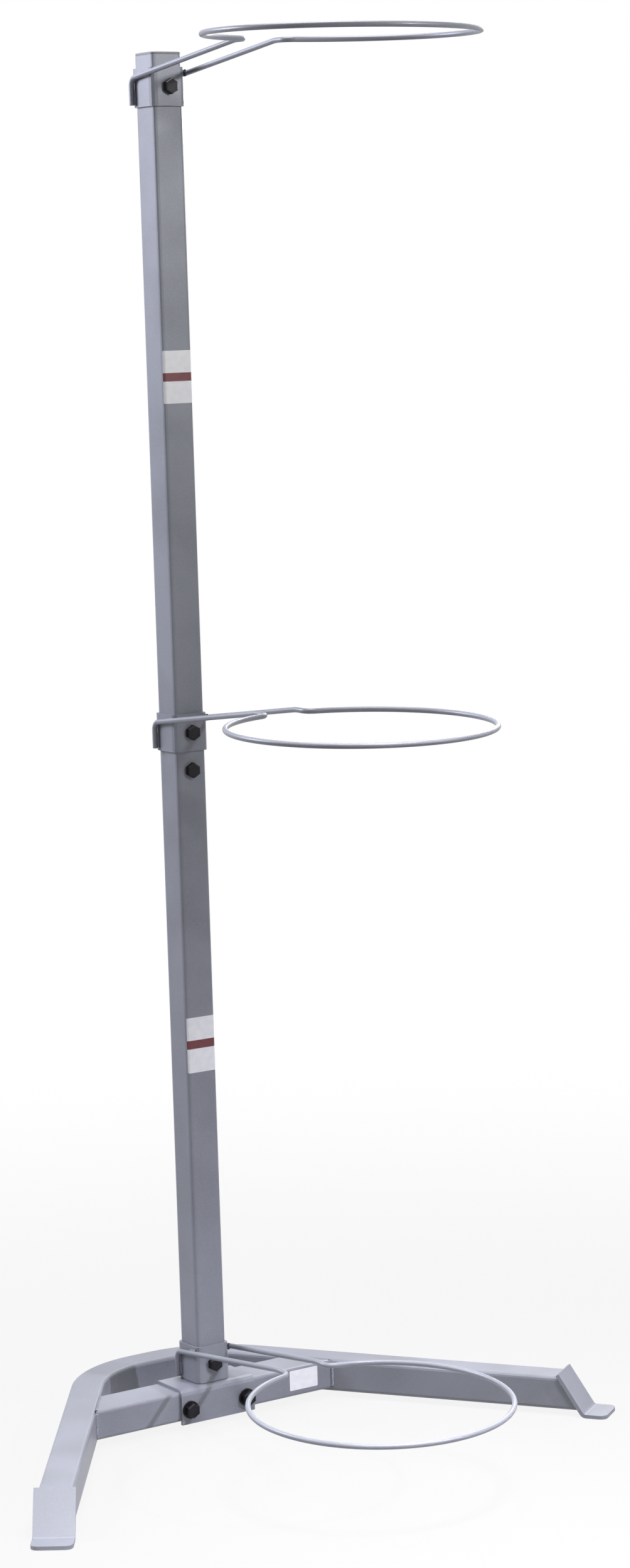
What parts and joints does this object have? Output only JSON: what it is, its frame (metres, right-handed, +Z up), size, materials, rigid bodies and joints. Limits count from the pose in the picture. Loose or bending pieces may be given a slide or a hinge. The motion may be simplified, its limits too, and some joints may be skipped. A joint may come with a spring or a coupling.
{
  "type": "exercise ball storage rack",
  "caption": "Free-standing square steel post on a bent-tube base, carrying height-adjustable wire rings that each hold an exercise ball.",
  "frame": {"origin": "on the floor, at the centre of the footprint", "axes": "+Z up along the post, -Y from the post towards the rings, X across the base"},
  "size_m": [0.9072, 0.7684, 1.8338],
  "materials": {
    "silver_powder_coat": "satin silver-grey powder coat",
    "black_oxide_steel": "black oxide, satin",
    "grey_polyethylene": "moulded grey plastic",
    "black_rubber": "matt black rubber",
    "zinc_plated_steel": "bright zinc plate"
  },
  "bodies": {
    "frame": {"base_bent_tube": "silver_powder_coat", "base_crossbar": "silver_powder_coat", "left_foot_plate": "silver_powder_coat", "right_foot_plate": "silver_powder_coat", "left_rear_pad": "black_rubber", "right_rear_pad": "black_rubber", "post_saddle": "silver_powder_coat", "left_base_bolt": "black_oxide_steel", "left_base_front_washer": "black_oxide_steel", "left_base_rear_washer": "black_oxide_steel", "left_base_nut": "black_oxide_steel", "right_base_bolt": "black_oxide_steel", "right_base_front_washer": "black_oxide_steel", "right_base_rear_washer": "black_oxide_steel", "right_base_nut": "black_oxide_steel", "lower_post": "silver_powder_coat", "upper_post": "silver_powder_coat", "joint_spigot": "zinc_plated_steel", "joint_bolt": "black_oxide_steel", "joint_rear_washer": "black_oxide_steel", "joint_nut": "black_oxide_steel", "post_top_cap": "grey_polyethylene"},
    "bottom_ring": {"bottom_sleeve": "silver_powder_coat", "bottom_hoop": "silver_powder_coat"},
    "bottom_clamp": {"bottom_clamp_screw": "black_oxide_steel"},
    "middle_ring": {"middle_sleeve": "silver_powder_coat", "middle_hoop": "silver_powder_coat"},
    "middle_clamp": {"middle_clamp_screw": "black_oxide_steel"},
    "top_ring": {"top_sleeve": "silver_powder_coat", "top_hoop": "silver_powder_coat"},
    "top_clamp": {"top_clamp_screw": "black_oxide_steel"}
  },
  "joints": [
    {"name": "bottom_ring_slide", "type": "slide", "parent": "frame", "child": "bottom_ring", "axis": [0, 0, 1], "range_m": [0, 0.77]},
    {"name": "middle_ring_slide", "type": "slide", "parent": "frame", "child": "middle_ring", "axis": [0, 0, 1], "range_m": [-0.012, 0.39]},
    {"name": "top_ring_slide", "type": "slide", "parent": "frame", "child": "top_ring", "axis": [0, 0, 1], "range_m": [-0.39, 0.017]},
    {"name": "bottom_clamp_turn", "type": "hinge", "parent": "bottom_ring", "child": "bottom_clamp", "pos_m": [0, 0.21225, 0.0831], "axis": [0, -1, 0], "range_deg": [0, 360]},
    {"name": "middle_clamp_turn", "type": "hinge", "parent": "middle_ring", "child": "middle_clamp", "pos_m": [0, 0.21225, 0.944], "axis": [0, -1, 0], "range_deg": [0, 360]},
    {"name": "top_clamp_turn", "type": "hinge", "parent": "top_ring", "child": "top_clamp", "pos_m": [0, 0.21225, 1.7875], "axis": [0, -1, 0], "range_deg": [0, 360]}
  ]
}
